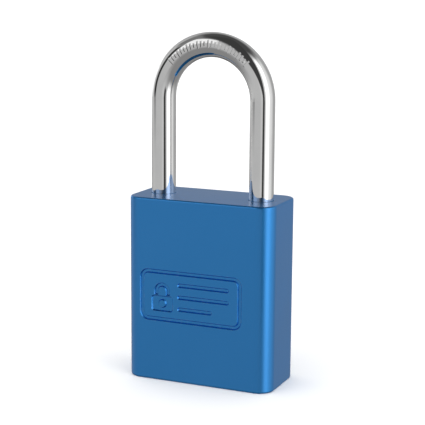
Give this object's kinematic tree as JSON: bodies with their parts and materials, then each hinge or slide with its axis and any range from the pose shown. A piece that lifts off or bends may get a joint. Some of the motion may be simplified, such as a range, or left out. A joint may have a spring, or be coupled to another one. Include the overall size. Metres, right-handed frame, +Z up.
{
  "type": "safety padlock",
  "caption": "Solid anodised block padlock with a slim chromed shackle, ball locking and a pin tumbler key cylinder in its base.",
  "frame": {"origin": "centre of the body's underside", "axes": "+Z up along the shackle legs, +X from the heel leg to the toe leg, -Y the marked front face"},
  "size_m": [0.0382, 0.0184, 0.0854],
  "materials": {
    "anodised_blue": "satin anodised blue",
    "chrome": "polished",
    "brass": "machined",
    "hard_steel": "ground",
    "zinc_steel": "plated",
    "spring_steel": "drawn"
  },
  "bodies": {
    "lock": {"lock_body": "anodised_blue", "cylinder_shell": "brass", "cylinder_screw": "zinc_steel", "chamber_cover": "brass", "shackle_spring": "spring_steel", "pin_spring_1": "spring_steel", "pin_spring_2": "spring_steel", "pin_spring_3": "spring_steel", "pin_spring_4": "spring_steel", "pin_spring_5": "spring_steel"},
    "plug": {"key_plug": "brass", "plug_clip": "spring_steel", "actuator": "zinc_steel"},
    "toe_side_ball": {"toe_ball": "hard_steel"},
    "heel_side_ball": {"heel_ball": "hard_steel"},
    "hoop": {"shackle": "chrome"},
    "bottom_pin_1": {"key_pin_1": "brass"},
    "bottom_pin_2": {"key_pin_2": "brass"},
    "bottom_pin_3": {"key_pin_3": "brass"},
    "bottom_pin_4": {"key_pin_4": "brass"},
    "bottom_pin_5": {"key_pin_5": "brass"},
    "top_pin_1": {"driver_pin_1": "brass"},
    "top_pin_2": {"driver_pin_2": "brass"},
    "top_pin_3": {"driver_pin_3": "brass"},
    "top_pin_4": {"driver_pin_4": "brass"},
    "top_pin_5": {"driver_pin_5": "brass"}
  },
  "joints": [
    {"name": "plug_turn", "type": "hinge", "parent": "lock", "child": "plug", "pos_m": [0, 0, 0.01], "axis": [0, 0, 1], "range_deg": [-90, 0]},
    {"name": "toe_ball_slide", "type": "slide", "parent": "lock", "child": "toe_side_ball", "axis": [1, 0, 0], "range_m": [0, 0.0014]},
    {"name": "heel_ball_slide", "type": "slide", "parent": "lock", "child": "heel_side_ball", "axis": [-1, 0, 0], "range_m": [0, 0.0008]},
    {"name": "shackle_lift", "type": "slide", "parent": "lock", "child": "hoop", "axis": [0, 0, 1], "range_m": [0, 0.012], "deforming": ["shackle_spring"]},
    {"name": "key_pin_drop_1", "type": "slide", "parent": "plug", "child": "bottom_pin_1", "axis": [0, -1, 0], "range_m": [0, 0.00242]},
    {"name": "key_pin_drop_2", "type": "slide", "parent": "plug", "child": "bottom_pin_2", "axis": [0, -1, 0], "range_m": [0, 0.00122]},
    {"name": "key_pin_drop_3", "type": "slide", "parent": "plug", "child": "bottom_pin_3", "axis": [0, -1, 0], "range_m": [0, 0.00182]},
    {"name": "key_pin_drop_4", "type": "slide", "parent": "plug", "child": "bottom_pin_4", "axis": [0, -1, 0], "range_m": [0, 0.00092]},
    {"name": "key_pin_drop_5", "type": "slide", "parent": "plug", "child": "bottom_pin_5", "axis": [0, -1, 0], "range_m": [0, 0.00212]},
    {"name": "driver_lift_1", "type": "slide", "parent": "lock", "child": "top_pin_1", "axis": [1, 0, 0], "range_m": [0, 0.0015], "stiffness_N_per_m": 150, "springref_m": -0.003, "deforming": ["pin_spring_1"]},
    {"name": "driver_lift_2", "type": "slide", "parent": "lock", "child": "top_pin_2", "axis": [1, 0, 0], "range_m": [0, 0.0015], "stiffness_N_per_m": 150, "springref_m": -0.003, "deforming": ["pin_spring_2"]},
    {"name": "driver_lift_3", "type": "slide", "parent": "lock", "child": "top_pin_3", "axis": [1, 0, 0], "range_m": [0, 0.0015], "stiffness_N_per_m": 150, "springref_m": -0.003, "deforming": ["pin_spring_3"]},
    {"name": "driver_lift_4", "type": "slide", "parent": "lock", "child": "top_pin_4", "axis": [1, 0, 0], "range_m": [0, 0.0015], "stiffness_N_per_m": 150, "springref_m": -0.003, "deforming": ["pin_spring_4"]},
    {"name": "driver_lift_5", "type": "slide", "parent": "lock", "child": "top_pin_5", "axis": [1, 0, 0], "range_m": [0, 0.0015], "stiffness_N_per_m": 150, "springref_m": -0.003, "deforming": ["pin_spring_5"]}
  ],
  "couplings": [
    {"joint": "toe_ball_slide", "follows": "plug_turn", "m_per_rad": -0.000891},
    {"joint": "heel_ball_slide", "follows": "plug_turn", "m_per_rad": -0.000509}
  ]
}
